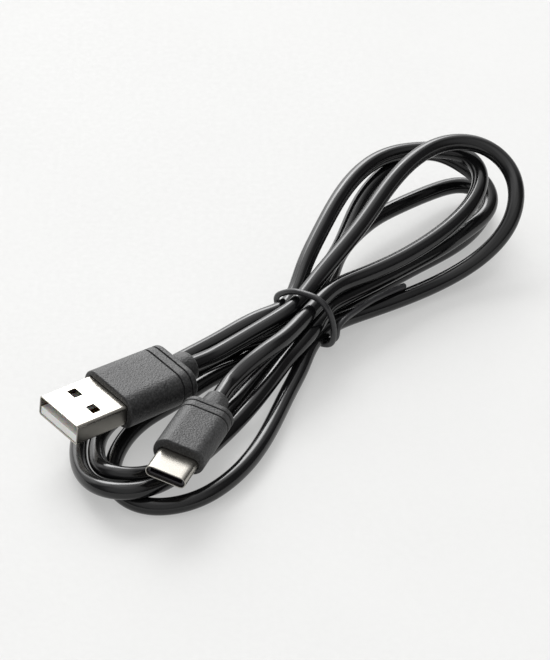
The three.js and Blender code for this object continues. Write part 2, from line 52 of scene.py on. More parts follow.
ROUTE = [
    (-18.96, -15.06, 7.69), (-15.08, -11.87, 7.33), (-11.92, -9.51, 7.73), (-4.92, -4.86, 9.41), (-1.16, -2.06, 10.19), (1.59, 1.08, 10.61),
    (4.28, 5.25, 11.54), (8.73, 11.47, 13.74), (14.59, 19.88, 16.46), (19.85, 28.79, 18.97), (23.77, 34.75, 20.18), (27.33, 39.14, 20.51),
    (30.48, 41.91, 20.47), (33.76, 43.62, 20.17), (37.02, 44.35, 19.59), (40, 44.15, 18.72), (42.6, 43.04, 17.61), (44.62, 41.1, 16.4),
    (45.95, 38.44, 15.17), (46.49, 35.2, 13.75), (46.14, 32.04, 11.99), (44.93, 29.33, 9.88), (42.8, 27.01, 7.61), (39.44, 24.7, 5.22),
    (35.19, 22.22, 3.35), (30.73, 19.42, 2.42), (24.66, 15.22, 2.24), (15.87, 9.77, 2.35), (11.55, 6.87, 2.62), (8.53, 3.81, 3.15),
    (5.85, -0.11, 3.61), (4.11, -3.6, 3.37), (2.42, -8.74, 2.55), (-0.03, -16.26, 2.21), (-3.28, -26.73, 2.15), (-6.4, -35.07, 2.11),
    (-9.54, -40.98, 2.08), (-12.97, -45.53, 2.06), (-16.27, -48.56, 2), (-19.59, -50.41, 1.9), (-23.07, -51.26, 1.74), (-26.32, -51.13, 1.61),
    (-29.17, -50.07, 1.58), (-31.49, -48.14, 1.59), (-33.07, -45.52, 1.58), (-33.84, -42.32, 1.58), (-33.79, -38.3, 1.6), (-32.75, -33.63, 1.67),
    (-30.68, -28.83, 1.73), (-27.86, -24.73, 1.76), (-23.06, -19.84, 1.77), (-16.13, -12.85, 2.05), (-11.63, -8.69, 1.84), (-7.85, -5.44, 1.64),
    (-4.9, -2.72, 2.37), (-1.78, 0.43, 3.95), (0.66, 3.61, 4.85), (3.38, 7.59, 4.91), (6.35, 12.2, 4.74), (8.1, 16.5, 4.92),
    (9.55, 22.44, 5.24), (11.38, 27.64, 5.34), (14.46, 33.23, 5.28), (18.09, 38, 5.24), (22.78, 42.39, 5.06), (30.14, 48.73, 4.3),
    (33.37, 50.98, 3.91), (35.75, 51.85, 3.67), (37.89, 51.79, 3.41), (39.69, 50.81, 3.09), (40.84, 49.09, 2.75), (41.22, 46.85, 2.46),
    (40.78, 44.07, 2.26), (39.23, 40.15, 2.18), (36.37, 35.31, 2.17), (32.86, 31.28, 2.17), (26.22, 25.43, 2.14), (18.09, 18.06, 2.22),
    (10.17, 10.73, 2.52), (5.83, 6.09, 2.8), (2.53, 1.11, 2.92), (-0.43, -3.32, 2.68), (-4.18, -8.23, 2.14), (-7.67, -14.31, 1.99),
    (-12.68, -23.87, 1.91), (-16.9, -31.06, 1.62), (-20.99, -37.04, 1.77), (-24.48, -41.43, 2.69), (-27.29, -44.3, 3.88), (-29.39, -45.59, 4.61),
    (-31.49, -45.97, 4.99), (-33.51, -45.43, 5.04), (-35.11, -44.06, 4.79), (-36.19, -41.98, 4.29), (-36.85, -38.77, 3.47), (-37.04, -33.87, 2.42),
    (-36.48, -29.87, 1.92), (-35.03, -26.27, 1.71), (-32.5, -22.7, 1.64), (-27.98, -18.18, 1.61), (-19.97, -11.15, 1.6), (-15.57, -7.39, 2),
    (-12.4, -5.15, 2.95), (-9.14, -3.78, 4.37), (-5.12, -2.99, 5.86), (-1.98, -2.05, 6.59), (0.58, -0.37, 6.95), (2.71, 2.2, 7.3),
    (4.54, 5.83, 8.02), (7.08, 12.23, 9.62), (10.26, 19.62, 10.91), (12.9, 27.75, 12.24), (15.34, 34.28, 13.04), (18.67, 40.47, 13.45),
    (22.41, 45.88, 13.43), (25.24, 48.84, 13.24), (27.89, 50.52, 12.86), (30.72, 51.26, 12.15), (33.6, 51.06, 11.11), (36.63, 49.87, 9.82),
    (39.33, 47.88, 8.58), (40.97, 45.66, 7.61), (41.66, 43.2, 6.77), (41.37, 40.6, 6.13), (40.16, 37.91, 5.75), (37.54, 34.28, 5.65),
    (31.78, 27.49, 5.75), (25.29, 21.36, 5.92), (17.13, 14.03, 6.17), (10.85, 8.49, 6.42), (8.39, 5.65, 6.68), (6.79, 2.34, 6.97),
    (5.14, -1.77, 7.12), (3.09, -5.19, 6.63), (-0.19, -9.8, 5.49), (-3.58, -15.99, 4.59), (-8.34, -24.31, 3.42), (-13.4, -31.87, 2.67),
    (-18.7, -39.58, 2.82), (-22.62, -44.81, 3.31), (-25.66, -48.44, 4.35), (-27.87, -50.19, 5), (-30.15, -51.01, 5.27), (-32.57, -50.89, 5.22),
    (-34.86, -49.85, 4.9), (-36.88, -47.92, 4.32), (-38.59, -44.96, 3.51), (-39.97, -40.67, 2.57), (-40.65, -35.47, 1.91), (-40.51, -30.51, 1.67),
    (-39.45, -26.08, 1.62), (-37.36, -21.8, 1.6), (-34.09, -17.43, 1.63), (-30.17, -13.73, 1.9), (-25.82, -10.82, 2.65), (-20.65, -8.32, 4.18),
    (-13.09, -5.26, 6.92), (-8.47, -2.89, 8.43), (-4.87, -0.72, 8.84), (-1.89, 1.56, 8.64), (0.01, 3.95, 8.73), (1.24, 6.69, 9.43),
    (2.94, 12.21, 11.27), (6.2, 20.46, 13.89), (9.28, 27.49, 15.77), (12.41, 33.94, 16.66), (15.61, 38.82, 17.05), (18.79, 42.17, 17.12),
    (22.41, 44.62, 16.9), (26.7, 46.33, 16.39), (30.75, 47.09, 15.92), (33.88, 46.89, 15.59), (36.34, 45.91, 15.21), (38.14, 44.2, 14.73),
    (39.13, 41.91, 14.17), (39.28, 39.14, 13.6), (38.51, 35.73, 12.97), (36.59, 31.65, 12.25), (33.35, 27.15, 11.48), (27.95, 21.42, 10.73),
    (21.45, 15.84, 10.26), (13.86, 10.45, 10.15), (10.15, 7.49, 10.36), (7.72, 4.42, 10.59), (4.65, -0.62, 10.57), (1.54, -5.86, 10.45),
    (-1.2, -10.3, 10.56), (-4.01, -13.45, 10.38), (-6.8, -15.8, 9.47), (-9.79, -18.16, 7.92), (-11.44, -19.97, 7.17), (-12.45, -21.96, 7.08),
    (-13.73, -25.52, 7.39),
]

TIE = [
    (23.17, 14.75, 4.8), (21.65, 13.6, 4.9), (20.22, 12.31, 5.11), (18.59, 10.88, 5.28), (17.06, 9.43, 5.44), (15.64, 7.81, 5.64),
    (14.31, 6.11, 5.86), (13.03, 4.36, 6.07), (12.11, 2.93, 6.34), (11.37, 1.57, 6.68), (10.89, 0.73, 6.78), (10.46, 0.11, 6.7),
    (10.07, -0.35, 6.47), (9.79, -0.65, 6.13), (9.6, -0.79, 5.64), (9.53, -0.75, 5.09), (9.48, -0.52, 4.21), (9.33, -0.18, 3.23),
    (9.04, 0.19, 2.45), (8.58, 0.64, 1.83), (7.98, 1.14, 1.36), (7.32, 1.62, 1.11), (6.46, 2.23, 1.02), (5.38, 2.91, 0.82),
    (4.43, 3.43, 0.63), (3.71, 3.87, 0.63), (3.18, 4.22, 0.8), (2.67, 4.49, 1.17), (1.82, 4.81, 1.88), (0.59, 5.12, 2.7),
    (-0.17, 5.26, 3.21), (-0.7, 5.28, 3.78), (-1.15, 5.21, 4.55), (-1.85, 5.07, 6.13), (-2.3, 5, 7.5), (-2.47, 4.89, 8.5),
    (-2.46, 4.7, 9.31), (-2.26, 4.4, 10.04), (-1.87, 3.99, 10.71), (-1.17, 3.35, 11.5), (-0.02, 2.34, 12.56), (0.87, 1.61, 13.15),
    (1.84, 0.88, 13.53), (3.22, -0.11, 13.81), (4.42, -0.93, 13.9), (5.27, -1.47, 13.8), (6, -1.9, 13.51), (6.66, -2.23, 13.03),
    (7.21, -2.45, 12.37), (7.7, -2.58, 11.51), (8.16, -2.62, 10.29), (8.56, -2.54, 8.75), (8.77, -2.33, 7.21), (8.81, -1.96, 5.36),
    (8.73, -1.56, 3.8), (8.56, -1.22, 2.85), (8.27, -0.85, 2.12), (7.83, -0.44, 1.57), (7.26, 0.02, 1.2), (6.53, 0.56, 0.98),
    (5.16, 1.5, 0.81),
]


# ------------------------------------------------------------------ camera
def make_camera():
    cam = bpy.data.cameras.new("camera")
    obj = bpy.data.objects.new("camera", cam)
    scene.collection.objects.link(obj)
    obj.location = (-0.002818, -0.635055, 0.483359)
    obj.rotation_euler = (math.radians(90 - 37.0), 0, 0)
    cam.sensor_width = 36.0
    cam.sensor_height = 36.0
    cam.lens = 4000.0 / 660.0 * 36.0
    cam.clip_start = 0.05
    cam.clip_end = 20
    scene.camera = obj
    return obj


make_camera()


# ------------------------------------------------------------------ mesh helpers
def spline(points, step):
    """Points every step along the natural cubic spline through the given ones."""
    p = np.array(points, float)
    t = np.r_[0, np.cumsum(np.linalg.norm(np.diff(p, axis=0), axis=1))]
    n = len(p)
    h = np.diff(t)
    a = np.zeros((n, n))
    b = np.zeros((n, 3))
    a[0, 0] = a[-1, -1] = 1
    for i in range(1, n - 1):
        a[i, i - 1], a[i, i], a[i, i + 1] = h[i - 1], 2 * (h[i - 1] + h[i]), h[i]
        b[i] = 6 * ((p[i + 1] - p[i]) / h[i] - (p[i] - p[i - 1]) / h[i - 1])
    m = np.linalg.solve(a, b)

    def at(s):
        i = np.clip(np.searchsorted(t, s, side="right") - 1, 0, n - 2)
        u, w, k = (s - t[i])[:, None], (t[i + 1] - s)[:, None], h[i][:, None]
        return (m[i] * w**3 + m[i + 1] * u**3) / (6 * k) + (p[i] / k - m[i] * k / 6) * w + (p[i + 1] / k - m[i + 1] * k / 6) * u

    fine = at(np.linspace(0, t[-1], int(t[-1] / 0.1)))
    s = np.r_[0, np.cumsum(np.linalg.norm(np.diff(fine, axis=0), axis=1))]
    k = np.linspace(0, s[-1], int(round(s[-1] / step)) + 1)
    return np.c_[[np.interp(k, s, fine[:, j]) for j in range(3)]].T, s[-1]


def transport(path):
    """Tangents and a pair of side vectors that don't twist, along a path."""
    t = np.gradient(path, axis=0)
    t /= np.linalg.norm(t, axis=1)[:, None]
    u = np.zeros_like(t)
    v0 = np.cross(t[0], [0, 0, 1.0])
    u[0] = v0 / np.linalg.norm(v0)
    for i in range(1, len(t)):
        w = u[i - 1] - t[i] * (u[i - 1] @ t[i])
        u[i] = w / np.linalg.norm(w)
    return t, u, np.cross(t, u)


def new_object(name, verts, faces, uvs=None, smooth=True):
    me = bpy.data.meshes.new(name)
    me.from_pydata([tuple(v) for v in verts], [], faces)
    if uvs is not None:
        layer = me.uv_layers.new(name="UVMap")
        flat = np.array([uvs[f][k] for f in range(len(faces)) for k in range(len(faces[f]))], float)
        layer.data.foreach_set("uv", flat.ravel())
    me.update()
    for poly in me.polygons:
        poly.use_smooth = smooth
    obj = bpy.data.objects.new(name, me)
    scene.collection.objects.link(obj)
    return obj


def tube(name, path, radius, sides, round_ends=False, along=None):
    """A closed tube round a path (mm). radius is a number or one for each point."""
    t, u, v = transport(path)
    n = len(path)
    r = np.full(n, float(radius)) if np.isscalar(radius) else np.array(radius, float)
    a = np.arange(sides) / sides * 2 * math.pi
    rings = [path[i] + r[i] * (np.cos(a)[:, None] * u[i] + np.sin(a)[:, None] * v[i]) for i in range(n)]
    ends = [(path[0], -t[0]), (path[-1], t[-1])]
    if round_ends:
        k = 5
        for q, (p, d) in enumerate(ends):
            i = 0 if q == 0 else n - 1
            cap = []
            for j in range(1, k):
                f = j / k * math.pi / 2
                cap.append(p + d * r[i] * math.sin(f) * 0.8 + r[i] * math.cos(f) * (np.cos(a)[:, None] * u[i] + np.sin(a)[:, None] * v[i]))
            rings = cap[::-1] + rings if q == 0 else rings + cap
        ends = [(path[0] - t[0] * r[0] * 0.8, 0), (path[-1] + t[-1] * r[-1] * 0.8, 0)]
    verts = np.concatenate(rings)
    m = len(rings)
    verts = np.r_[verts, [ends[0][0]], [ends[1][0]]] * MM
    faces, uvs = [], []
    s = np.r_[0, np.cumsum([np.linalg.norm(rings[i + 1].mean(0) - rings[i].mean(0)) for i in range(m - 1)])] * MM
    c = 2 * math.pi * float(r.mean()) * MM / sides
    for i in range(m - 1):
        for j in range(sides):
            k = (j + 1) % sides
            faces.append((i * sides + j, i * sides + k, (i + 1) * sides + k, (i + 1) * sides + j))
            uvs.append(((j * c, s[i]), ((j + 1) * c, s[i]), ((j + 1) * c, s[i + 1]), (j * c, s[i + 1])))
    for j in range(sides):
        k = (j + 1) % sides
        faces.append((m * sides, k, j))
        uvs.append(((0, 0), (c, 0), (0, c)))
        faces.append((m * sides + 1, (m - 1) * sides + j, (m - 1) * sides + k))
        uvs.append(((0, 0), (c, 0), (0, c)))
    return new_object(name, verts, faces, uvs)


def plug_matrix(p):
    yaw, pitch, roll = (math.radians(p[k]) for k in ("yaw", "pitch", "roll"))
    r = Matrix.Rotation(yaw, 4, "Z") @ Matrix.Rotation(-pitch, 4, "Y") @ Matrix.Rotation(roll, 4, "X")
    return Matrix.Translation(Vector(p["pos"]) * MM) @ r


MAT_A, MAT_C = plug_matrix(USB_A), plug_matrix(USB_C)


def place(obj, matrix):
    """Local plug millimetres to row metres, in the mesh itself."""
    obj.data.transform(matrix @ Matrix.Scale(MM, 4))
    obj.data.update()
    return obj


def section(hw, hh, r, n=10, k=6):
    """Rounded rectangle, counter-clockwise from the right side's upper end, with points on the straights too."""
    r = min(r, hw - 1e-3, hh - 1e-3)
    pts = []
    cs = [(hw - r, hh - r), (-(hw - r), hh - r), (-(hw - r), -(hh - r)), (hw - r, -(hh - r))]
    for q, (cx, cy) in enumerate(cs):
        for i in range(n + 1):
            a = (q + i / n) * math.pi / 2
            pts.append((cx + r * math.cos(a), cy + r * math.sin(a)))
        nx, ny = cs[(q + 1) % 4]
        a = (q + 1) * math.pi / 2
        x0, y0 = cx + r * math.cos(a), cy + r * math.sin(a)
        x1, y1 = nx + r * math.cos(a), ny + r * math.sin(a)
        for i in range(1, k):
            pts.append((x0 + (x1 - x0) * i / k, y0 + (y1 - y0) * i / k))
    return pts


def skin(name, stations, n=10, k=6, close=True):
    """Closed skin through rounded rectangles: [x, hw, hh, r, dz]. Ends are capped with a centre point."""
    rings = []
    for x, hw, hh, r, dz in stations:
        rings.append([(x, y, z + dz) for y, z in section(hw, hh, r, n, k)])
    m = len(rings[0])
    verts = [p for ring in rings for p in ring]
    faces = []
    for i in range(len(rings) - 1):
        for j in range(m):
            q = (j + 1) % m
            faces.append((i * m + j, i * m + q, (i + 1) * m + q, (i + 1) * m + j))
    if close:
        for i, rev in ((0, True), (len(rings) - 1, False)):
            x, _, _, _, dz = stations[i]
            verts.append((x, 0, dz))
            c = len(verts) - 1
            for j in range(m):
                q = (j + 1) % m
                faces.append((c, i * m + q, i * m + j) if rev else (c, i * m + j, i * m + q))
    obj = new_object(name, verts, faces)
    bm = bmesh.new()
    bm.from_mesh(obj.data)
    bmesh.ops.recalc_face_normals(bm, faces=bm.faces)
    bm.to_mesh(obj.data)
    bm.free()
    for poly in obj.data.polygons:
        poly.use_smooth = True
    return obj


def sharpen(obj, degrees=35):
    """Splits the shading at hard edges."""
    me = obj.data
    bm = bmesh.new()
    bm.from_mesh(me)
    lim = math.radians(degrees)
    for e in bm.edges:
        e.smooth = not (len(e.link_faces) == 2 and e.calc_face_angle(0) > lim)
    bm.to_mesh(me)
    bm.free()


def bevel(obj, width, segments=3, angle=40):
    m = obj.modifiers.new("bevel", "BEVEL")
    m.width = width * MM
    m.segments = segments
    m.limit_method = "ANGLE"
    m.angle_limit = math.radians(angle)
    m.harden_normals = False
    return m


# ------------------------------------------------------------------ material helpers
class Mat:
    def __init__(self, name):
        self.m = bpy.data.materials.new(name)
        self.m.use_nodes = True
        self.t = self.m.node_tree
        self.t.nodes.clear()
        self.out = self.n("ShaderNodeOutputMaterial")
        self.p = self.n("ShaderNodeBsdfPrincipled")
        self.l(self.p.outputs[0], self.out.inputs[0])

    def n(self, kind, **props):
        node = self.t.nodes.new(kind)
        for k, v in props.items():
            setattr(node, k, v)
        return node

    def l(self, a, b):
        self.t.links.new(a, b)

    def set(self, **values):
        names = dict(color="Base Color", rough="Roughness", metal="Metallic", ior="IOR", spec="Specular IOR Level", coat="Coat Weight",
                     coat_rough="Coat Roughness", coat_ior="Coat IOR", sheen="Sheen Weight", sheen_rough="Sheen Roughness", sss="Subsurface Weight", sss_scale="Subsurface Scale",
                     aniso="Anisotropic", trans="Transmission Weight")
        for k, v in values.items():
            if k == "color":
                v = (*v, 1)
            self.p.inputs[names[k]].default_value = v
        return self

    def coords(self, kind="Object", scale=(1, 1, 1)):
        tc = self.n("ShaderNodeTexCoord")
        mp = self.n("ShaderNodeMapping")
        mp.inputs["Scale"].default_value = scale
        self.l(tc.outputs[kind], mp.inputs["Vector"])
        return mp.outputs[0]

    def noise(self, vec, scale, detail=4, rough=0.55, distortion=0.0):
        t = self.n("ShaderNodeTexNoise")
        t.inputs["Scale"].default_value = scale
        t.inputs["Detail"].default_value = detail
        t.inputs["Roughness"].default_value = rough
        t.inputs["Distortion"].default_value = distortion
        self.l(vec, t.inputs["Vector"])
        return t.outputs["Fac"]

    def ramp(self, fac, stops):
        r = self.n("ShaderNodeValToRGB")
        e = r.color_ramp.elements
        while len(e) < len(stops):
            e.new(0.5)
        for el, (pos, col) in zip(e, stops):
            el.position = pos
            el.color = (col, col, col, 1) if isinstance(col, (int, float)) else (*col, 1)
        self.l(fac, r.inputs[0])
        return r.outputs[0]

    def remap(self, fac, a, b, lo=0.3, hi=0.7):
        r = self.n("ShaderNodeMapRange")
        r.inputs["From Min"].default_value = lo
        r.inputs["From Max"].default_value = hi
        r.inputs["To Min"].default_value = a
        r.inputs["To Max"].default_value = b
        self.l(fac, r.inputs["Value"])
        return r.outputs[0]

    def math(self, op, a, b=None):
        m = self.n("ShaderNodeMath", operation=op)
        for i, v in enumerate((a, b)):
            if v is None:
                continue
            if isinstance(v, (int, float)):
                m.inputs[i].default_value = v
            else:
                self.l(v, m.inputs[i])
        return m.outputs[0]

    def mix(self, fac, a, b):
        m = self.n("ShaderNodeMix", data_type="RGBA")
        if isinstance(fac, (int, float)):
            m.inputs["Factor"].default_value = fac
        else:
            self.l(fac, m.inputs["Factor"])
        for key, v in ((6, a), (7, b)):
            if isinstance(v, tuple):
                m.inputs[key].default_value = (*v, 1)
            else:
                self.l(v, m.inputs[key])
        return m.outputs[2]

    def bump(self, heights):
        """heights: [(socket, distance in mm, strength)], chained."""
        prev = None
        for h, dist, strength in heights:
            b = self.n("ShaderNodeBump")
            b.inputs["Distance"].default_value = dist * MM
            b.inputs["Strength"].default_value = strength
            self.l(h, b.inputs["Height"])
            if prev is not None:
                self.l(prev, b.inputs["Normal"])
            prev = b.outputs[0]
        self.l(prev, self.p.inputs["Normal"])


def jacket_material():
    k = Mat("jacket_pvc").set(ior=1.53, spec=0.44)
    v = k.coords()
    broad = k.noise(v, 140, 3)
    fine = k.noise(v, 1300, 3)
    k.l(k.mix(k.remap(broad, 0, 1), (0.0040, 0.0040, 0.0044), (0.0056, 0.0056, 0.0060)), k.p.inputs["Base Color"])
    # clean handled gloss, a little duller in soft patches
    k.l(k.math("ADD", k.remap(broad, 0.135, 0.17), k.remap(fine, -0.012, 0.012)), k.p.inputs["Roughness"])
    # slow unevenness of the extruded wall and the faintest drawn lines along it
    lines = k.noise(k.coords("UV", (1, 0.02, 1)), 1500, 2)
    k.bump([(k.noise(v, 200, 2), 0.035, 0.3), (lines, 0.004, 0.2), (fine, 0.0025, 0.25)])
    return k.m


def tie_material():
    k = Mat("tie_coat").set(ior=1.5, spec=0.55)
    v = k.coords()
    k.l(k.mix(k.remap(k.noise(v, 300, 3), 0, 1), (0.016, 0.016, 0.018), (0.026, 0.026, 0.028)), k.p.inputs["Base Color"])
    k.l(k.remap(k.noise(v, 1800, 3), 0.3, 0.42), k.p.inputs["Roughness"])
    k.bump([(k.noise(v, 700, 3), 0.03, 0.4), (k.noise(v, 4000, 3), 0.01, 0.4)])
    return k.m


def tpe_material():
    k = Mat("overmould_tpe").set(ior=1.5, spec=0.45, sheen=0.10, sheen_rough=0.4)
    v = k.coords()
    tone = k.noise(v, 90, 4)
    grain = k.noise(v, 2300, 5, 0.62)
    speck = k.noise(v, 4600, 3)
    c = k.mix(k.remap(tone, 0, 1), (0.013, 0.013, 0.0133), (0.019, 0.019, 0.0194))
    c = k.mix(k.remap(grain, 0, 0.7, 0.42, 0.68), c, (0.072, 0.072, 0.073))
    k.l(c, k.p.inputs["Base Color"])
    k.l(k.math("ADD", k.remap(grain, 0.40, 0.52), k.remap(tone, -0.03, 0.03)), k.p.inputs["Roughness"])
    # spark-eroded tool texture: small soft pits and grains over a slow unevenness
    vor = k.n("ShaderNodeTexVoronoi", feature="SMOOTH_F1")
    vor.inputs["Scale"].default_value = 2700
    vor.inputs["Smoothness"].default_value = 0.7
    k.l(v, vor.inputs["Vector"])
    k.bump([(k.noise(v, 300, 2), 0.05, 0.25), (vor.outputs["Distance"], 0.10, 0.6), (grain, 0.10, 0.7), (speck, 0.03, 0.6)])
    return k.m


def steel_material(name, color, rough, brushed=(1, 1, 1)):
    k = Mat(name).set(metal=1.0)
    v = k.coords("Object", brushed)
    grain = k.noise(v, 2200, 4)
    haze = k.noise(k.coords(), 160, 4)
    lo = tuple(c * 0.93 for c in color)
    k.l(k.mix(k.remap(haze, 0, 1), lo, color), k.p.inputs["Base Color"])
    k.l(k.math("ADD", k.remap(haze, rough * 0.85, rough * 1.25), k.remap(grain, -0.03, 0.03)), k.p.inputs["Roughness"])
    k.bump([(k.noise(k.coords(), 260, 2), 0.012, 0.3), (grain, 0.004, 0.5)])
    return k.m


def plastic_material(name, color, rough, sss=0.0, spread=0.12, fine=0.01):
    k = Mat(name).set(ior=1.5, spec=0.5)
    if sss:
        k.set(sss=sss, sss_scale=0.0008)
    v = k.coords()
    lo = tuple(c * (1 - spread) for c in color)
    k.l(k.mix(k.remap(k.noise(v, 400, 4), 0, 1), lo, color), k.p.inputs["Base Color"])
    k.l(k.remap(k.noise(v, 1600, 3), rough - 0.05, rough + 0.06), k.p.inputs["Roughness"])
    k.bump([(k.noise(v, 3500, 3), fine, 0.5)])
    return k.m


def board_material():
    k = Mat("board_mask").set(ior=1.5, coat=0.4, coat_rough=0.2)
    v = k.coords()
    k.l(k.mix(k.remap(k.noise(v, 900, 3), 0, 1), (0.012, 0.060, 0.034), (0.020, 0.095, 0.052)), k.p.inputs["Base Color"])
    k.l(k.remap(k.noise(v, 2500, 3), 0.35, 0.5), k.p.inputs["Roughness"])
    k.bump([(k.noise(v, 1800, 3), 0.015, 0.5)])
    return k.m


def floor_material():
    k = Mat("floor_board").set(ior=1.45, spec=0.3)
    v = k.coords()
    k.l(k.mix(k.remap(k.noise(v, 30, 4), 0, 1), (0.328, 0.328, 0.324), (0.341, 0.341, 0.337)), k.p.inputs["Base Color"])
    k.l(k.remap(k.noise(v, 900, 3), 0.52, 0.64), k.p.inputs["Roughness"])
    # a pale board that glows a little by itself (painted light, no lamp), which lifts and softens the shadows cast on
    # it
    k.p.inputs["Emission Color"].default_value = (1.0, 1.0, 0.99, 1)
    k.p.inputs["Emission Strength"].default_value = 0.40
    k.bump([(k.noise(v, 1400, 4), 0.02, 0.25)])
    return k.m


JACKET = jacket_material()
TIECOAT = tie_material()
TPE = tpe_material()
STEEL = steel_material("nickel_shell", (0.53, 0.505, 0.457), 0.24, (1, 1, 1))
STEEL_C = steel_material("nickel_shell_small", (0.455, 0.437, 0.398), 0.28, (1, 1, 1))
STEEL_SIDE = steel_material("nickel_shell_side", (0.30, 0.288, 0.262), 0.34, (1, 1, 1))
SPRING = steel_material("spring_steel", (0.62, 0.60, 0.57), 0.25)
GOLD = steel_material("gold_plate", (0.83, 0.56, 0.24), 0.22)
TONGUE = plastic_material("tongue_plastic", (0.90, 0.90, 0.87), 0.34, sss=0.3, spread=0.06)
HOUSING = plastic_material("housing_plastic", (0.014, 0.012, 0.017), 0.4)
PREMOULD = plastic_material("premould_plastic", (0.74, 0.71, 0.64), 0.45, sss=0.2)
CHIP = plastic_material("chip_body", (0.02, 0.02, 0.021), 0.4)
WIRES = dict(red=plastic_material("wire_red", (0.42, 0.035, 0.022), 0.35), black=plastic_material("wire_black", (0.016, 0.016, 0.017), 0.35),
             green=plastic_material("wire_green", (0.02, 0.22, 0.07), 0.35), white=plastic_material("wire_white", (0.72, 0.71, 0.68), 0.35))
BOARD = board_material()


def paint(obj, material):
    obj.data.materials.clear()
    obj.data.materials.append(material)
    for poly in obj.data.polygons:
        poly.material_index = 0


# ------------------------------------------------------------------ the cord
def mouth(p, m):
    return np.array(m @ (Vector((-p["len"] - p["neck"], 0, p["dz"])) * MM)) / MM


route = [mouth(A, MAT_A)] + [np.array(q, float) for q in ROUTE] + [mouth(C, MAT_C)]
line, line_len = spline(route, 0.45)
cord = tube("cord", line, CORD_D / 2, 32)
paint(cord, JACKET)
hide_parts("cord_jacket")
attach(cord, "hank")

# ------------------------------------------------------------------ the twist tie
tline, _ = spline(TIE, 0.12)
tie = tube("tie_wire", tline, TIE_D / 2, 20, round_ends=True)
paint(tie, TIECOAT)
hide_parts("twist_tie")
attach(tie, "hank")


# ------------------------------------------------------------------ overmoulds
def overmould_skin(name, P, hole, matrix):
    """Block, softly rounded rims, two finger grooves, rounded shoulder, strain relief, and the real pockets at both ends."""
    (fw, fh, fr), (bw, bh, br) = P["front"], P["back"]

    def at(x, k=0.0, kr=0.6):
        t = x / P["len"]
        return [-x, fw + (bw - fw) * t - k, fh + (bh - fh) * t - k, max(fr + (br - fr) * t - k * kr, 0.2), P["body_z"]]

    hw, hh, hr, hz = hole
    st = [[-6.0, hw, hh, hr, hz], [-3.0, hw, hh, hr, hz], [-0.5, hw, hh, hr, hz], [-0.12, hw, hh, hr, hz], [-0.03, hw + 0.03, hh + 0.03, hr, hz], [0.0, hw + 0.12, hh + 0.12, hr + 0.05, hz]]
    # front face from the pocket's edge out to the rim
    e = 0.36
    for f in (0.35, 0.75):
        st.append([0.0, hw + (fw - e - hw) * f, hh + (fh - e - hh) * f, hr + (fr - e * 0.6 - hr) * f, hz + (P["body_z"] - hz) * f])
    for i in range(7):
        a = i / 6 * math.pi / 2
        st.append(at(0.0, e - e * math.sin(a)))
        st[-1][0] = -(e - e * math.cos(a))
    st += [at(0.7), at(1.4), at(3.5), at(6.5), at(9.5), at(11.5)]
    for g in P["grooves"]:
        w, d = 0.17, 0.55
        st += [at(g - 0.5), at(g - w - 0.16), at(g - w - 0.06, 0.015), at(g - w, 0.07), at(g - w + 0.03, 0.2), at(g - w + 0.06, d * 0.9), at(g - 0.03, d), at(g + 0.03, d),
               at(g + w - 0.06, d * 0.9), at(g + w - 0.03, 0.2), at(g + w, 0.07), at(g + w + 0.06, 0.015), at(g + w + 0.16), at(g + 0.5)]
    # rear rim and shoulder
    q = P["shoulder"]
    L = P["len"]
    for i in range(1, 9):
        a = i / 8 * math.pi / 2
        s = at(L, q - q * math.cos(a))
        s[0] = -(L - q + q * math.sin(a))
        st.append(s)
    # the strain relief: a rounded stub that the cord leaves, its mouth softly rolled
    x, w1, h1, r1, bz = st[-1]
    dz = P["dz"]
    (nw0, nh0), (nw1, nh1) = P["neck_r"]
    for f in (0.5, 0.85):
        st.append([-L - 0.02 * f, w1 + (nw0 + 0.25 - w1) * f, h1 + (nh0 - h1) * f, r1 + (nh0 - 0.02 - r1) * f, bz + (dz - bz) * f])
    N, e2 = P["neck"], P["rim"]
    for f in (0.03, 0.08, 0.2, 0.4, 0.6, 0.75):
        flare = 0.22 * math.exp(-f / 0.06)
        hw2, hh2 = nw0 + (nw1 - nw0) * f + flare, nh0 + (nh1 - nh0) * f + flare * 0.3
        st.append([-L - (N - e2) * f / 0.75, hw2, hh2, min(hw2, hh2) - 0.02, dz])
    for i in range(1, 7):
        a = i / 6 * math.pi / 2
        k2 = e2 * (1 - math.cos(a))
        hw2 = max(nw1 - k2, 2.0)
        hh2 = max(nh1 - k2, 1.98)
        st.append([-L - N + e2 * (1 - math.sin(a)), hw2, hh2, min(hw2, hh2) - 0.01, dz])
    # mouth of the relief and its bore
    for x, rr in ((-L - N, 1.9), (-L - N + 0.04, 1.82), (-L - N + 0.15, 1.78), (-L - N + 1.0, 1.78), (-L - N + 2.6, 1.78)):
        st.append([x, rr, rr, rr - 0.004, dz])
    obj = skin(name, st, n=12, k=8)
    sharpen(obj, 50)
    paint(obj, TPE)
    place(obj, matrix)
    return obj


a_mould = overmould_skin("usb_a_overmould_skin", A, (6.1, 2.35, 0.62, 0.0), MAT_A)
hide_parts("usb_a_overmould")
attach(a_mould, "usb_a_plug")
c_mould = overmould_skin("usb_c_overmould_skin", C, (4.22, 1.3, 1.28, 0.0), MAT_C)
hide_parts("usb_c_overmould")
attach(c_mould, "usb_c_plug")


